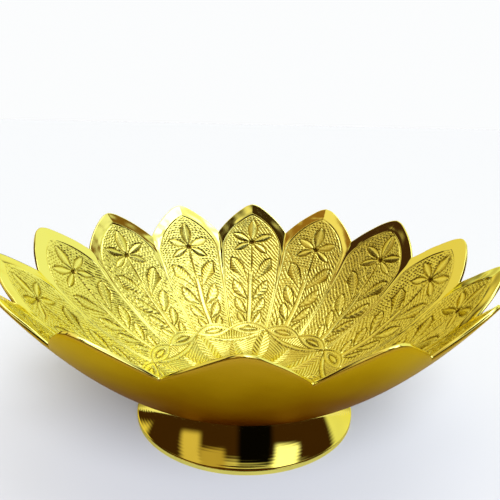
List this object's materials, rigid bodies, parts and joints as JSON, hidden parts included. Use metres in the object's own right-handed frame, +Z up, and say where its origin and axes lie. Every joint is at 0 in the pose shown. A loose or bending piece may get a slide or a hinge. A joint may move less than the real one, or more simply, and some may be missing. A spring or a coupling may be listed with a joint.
{
  "type": "footed lotus bowl",
  "caption": "Footed brass lotus bowl with pointed petals, an engraved inside and a flared foot bolted on from below.",
  "frame": {"origin": "centre of the ring face that the foot stands on", "axes": "+Z up along the bowl's axis, +Y towards one petal tip"},
  "size_m": [0.1482, 0.1518, 0.057],
  "materials": {
    "satin_brass": "satin outside, engraved and burnished inside",
    "polished_brass": "mirror polished with fine turning lines",
    "stud_brass": "as turned",
    "braze": "rough braze metal",
    "plated_steel": "zinc plated"
  },
  "bodies": {
    "root": {"lotus_bowl": "satin_brass", "pedestal_foot": "polished_brass", "fixing_stud": "stud_brass", "stud_braze": "braze", "clamp_washer": "plated_steel", "fixing_nut": "plated_steel"}
  },
  "joints": []
}
